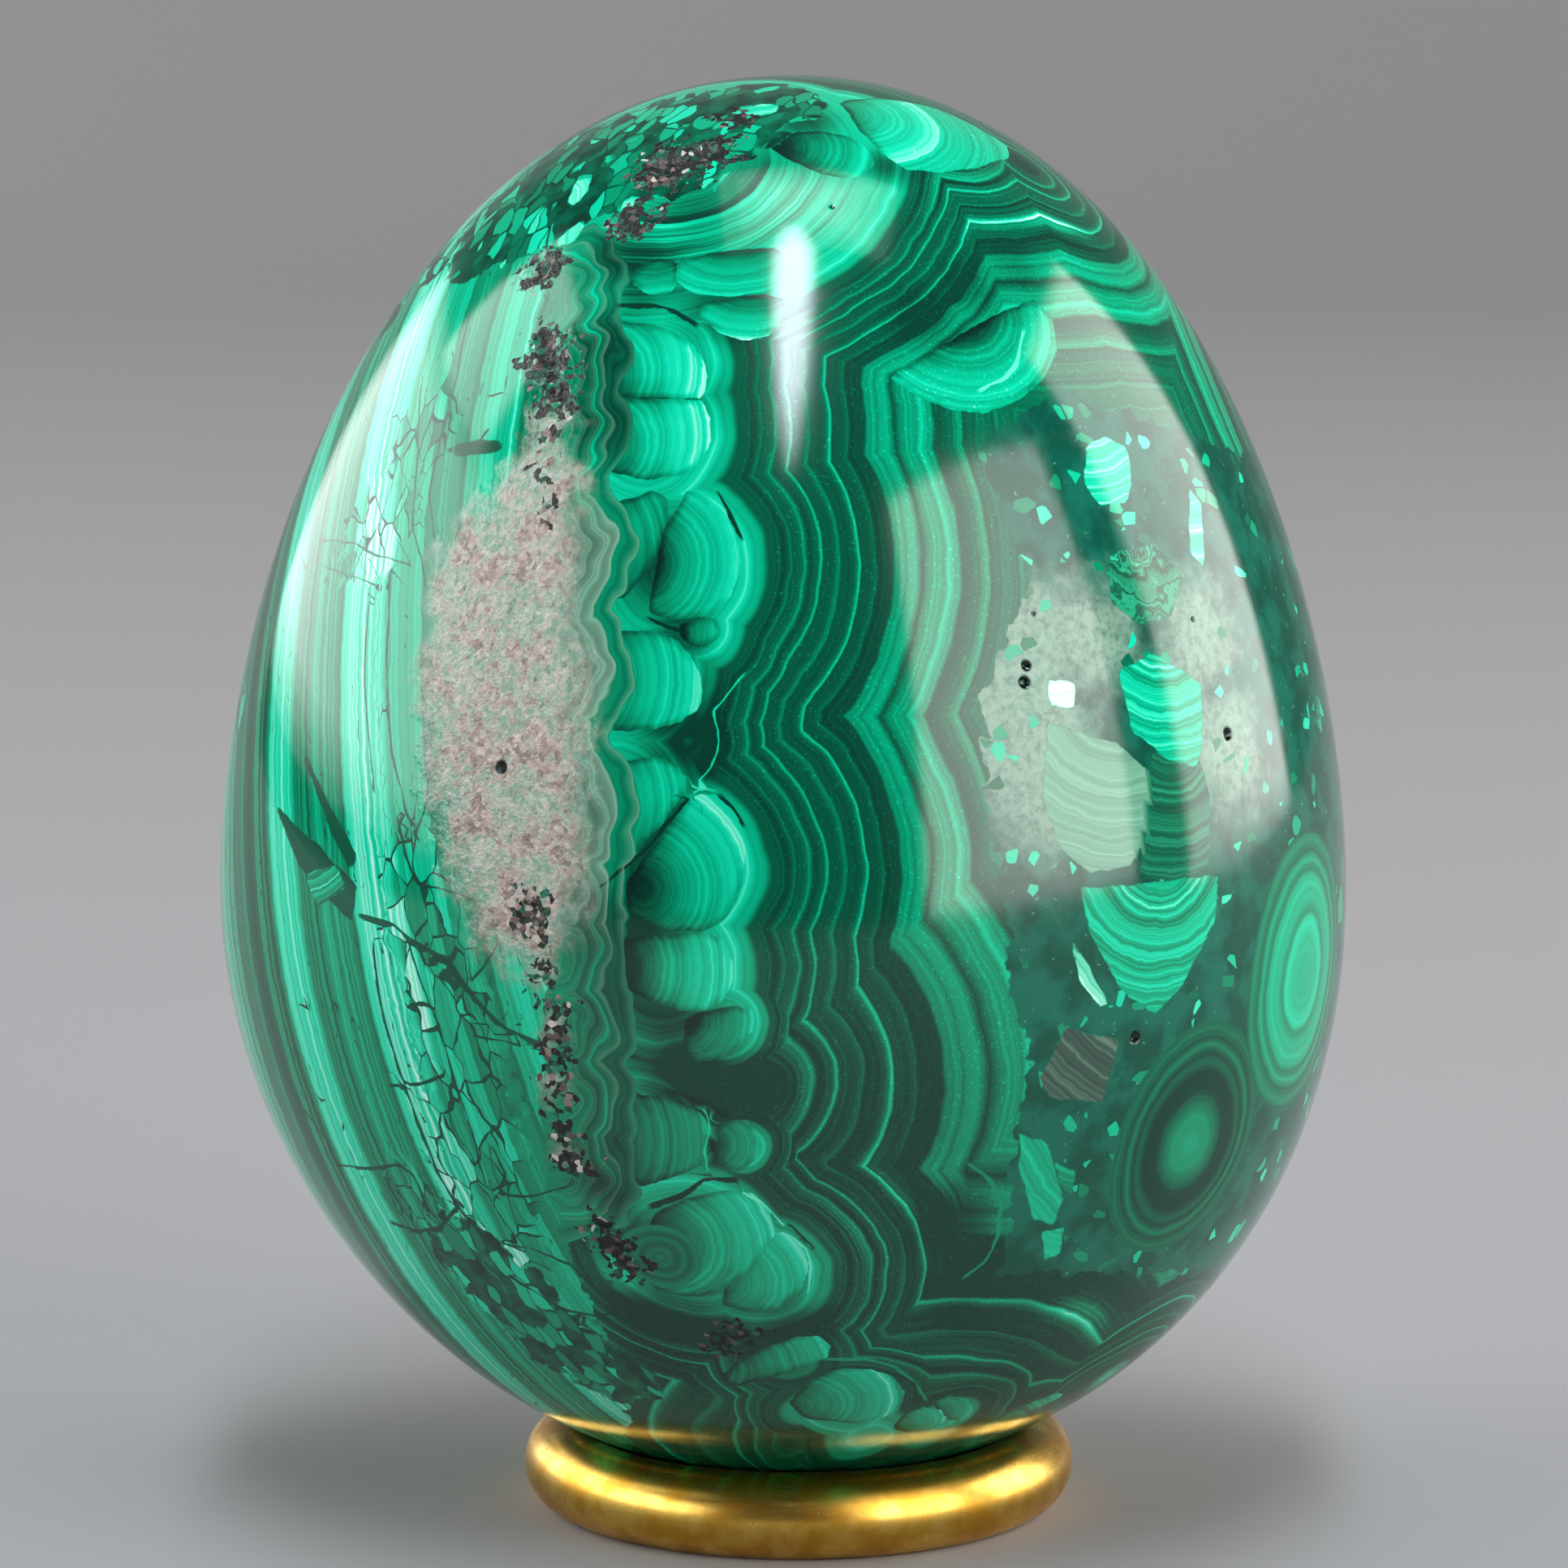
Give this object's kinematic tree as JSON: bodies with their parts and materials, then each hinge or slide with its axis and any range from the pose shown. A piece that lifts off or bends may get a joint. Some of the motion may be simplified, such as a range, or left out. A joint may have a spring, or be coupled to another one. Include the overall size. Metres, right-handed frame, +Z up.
{
  "type": "decorative egg on stand",
  "caption": "Polished banded malachite egg resting blunt end down in a plain brass ring stand, from which it lifts off.",
  "frame": {"origin": "on the table under the ring, on the common axis of the ring and the egg", "axes": "+Z up along the axis of the egg, from its blunt end to its crown; -Y towards the side seen in the picture, +X to that view's right"},
  "size_m": [0.0608, 0.0608, 0.0779],
  "materials": {
    "malachite": "polished, banded green stone with open pores",
    "brass": "satin polished, lightly pitted"
  },
  "bodies": {
    "ring_stand": {"ring_stand": "brass"},
    "malachite_egg": {"malachite_egg": "malachite"}
  },
  "joints": [
    {"name": "egg_lift", "type": "slide", "parent": "ring_stand", "child": "malachite_egg", "axis": [0, 0, 1], "range_m": [0, 0.04]}
  ]
}
